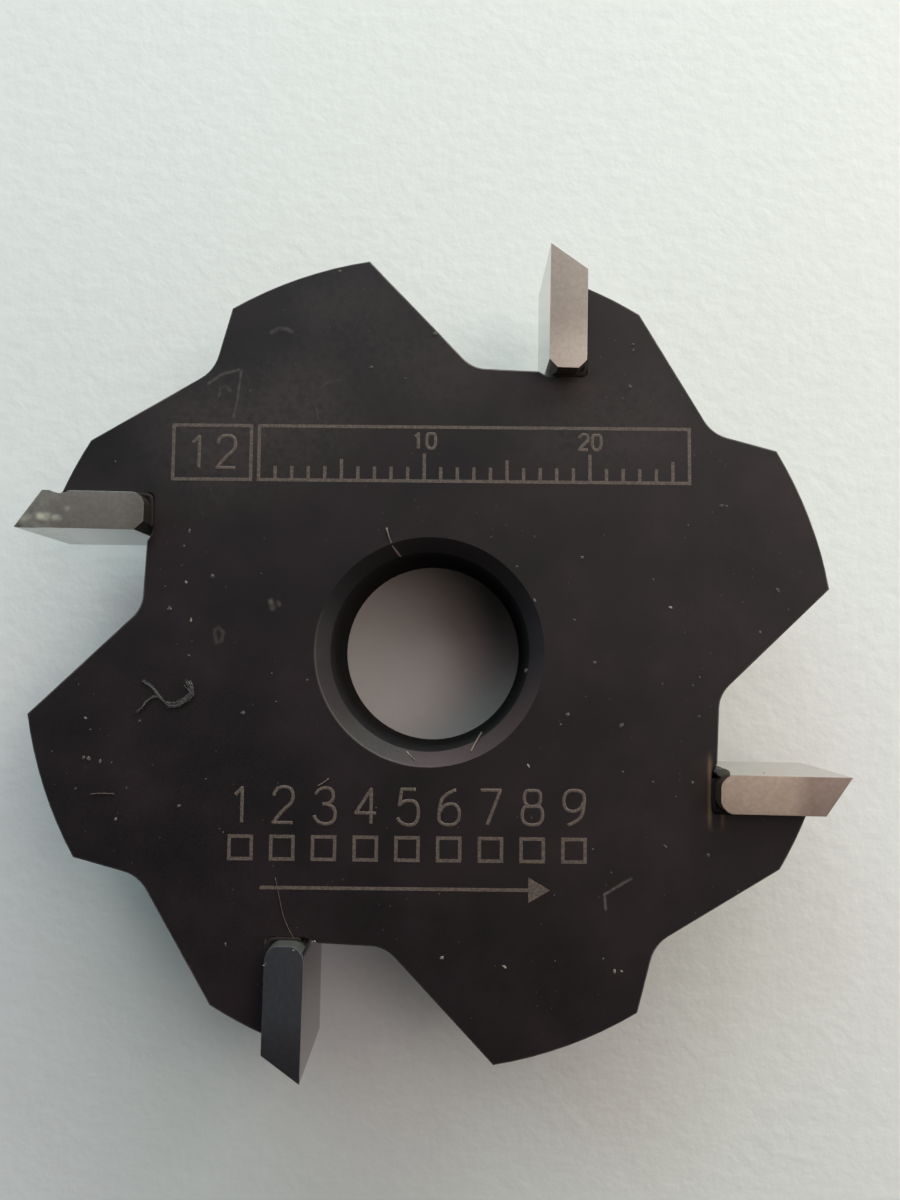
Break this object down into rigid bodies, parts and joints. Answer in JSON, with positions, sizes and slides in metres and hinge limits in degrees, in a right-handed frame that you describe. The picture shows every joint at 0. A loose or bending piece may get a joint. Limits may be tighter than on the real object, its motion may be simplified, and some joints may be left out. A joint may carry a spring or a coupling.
{
  "type": "slotting cutter",
  "caption": "Flat milling cutter for slots and grooves: a black steel body with brazed carbide tips, deep chip gullets, chip limiters and a countersunk bore on a short hub.",
  "frame": {"origin": "on the bore axis, at the hub's end face, which the cutter lies on", "axes": "+Z along the bore axis, out of the marked and countersunk face; +X parallel to the rake face of carbide_tip_1, towards its cutting edge; the cutter turns so that each rake face leads, counterclockwise seen from +Z"},
  "size_m": [0.049, 0.049, 0.0115],
  "materials": {
    "black_steel": "satin black coating",
    "carbide": "fine ground",
    "filler_metal": "dull, as brazed"
  },
  "bodies": {
    "root": {"cutter_body": "black_steel", "carbide_tip_1": "carbide", "carbide_tip_2": "carbide", "carbide_tip_3": "carbide", "carbide_tip_4": "carbide", "braze_seam_1": "filler_metal", "braze_seam_2": "filler_metal", "braze_seam_3": "filler_metal", "braze_seam_4": "filler_metal"}
  },
  "joints": []
}
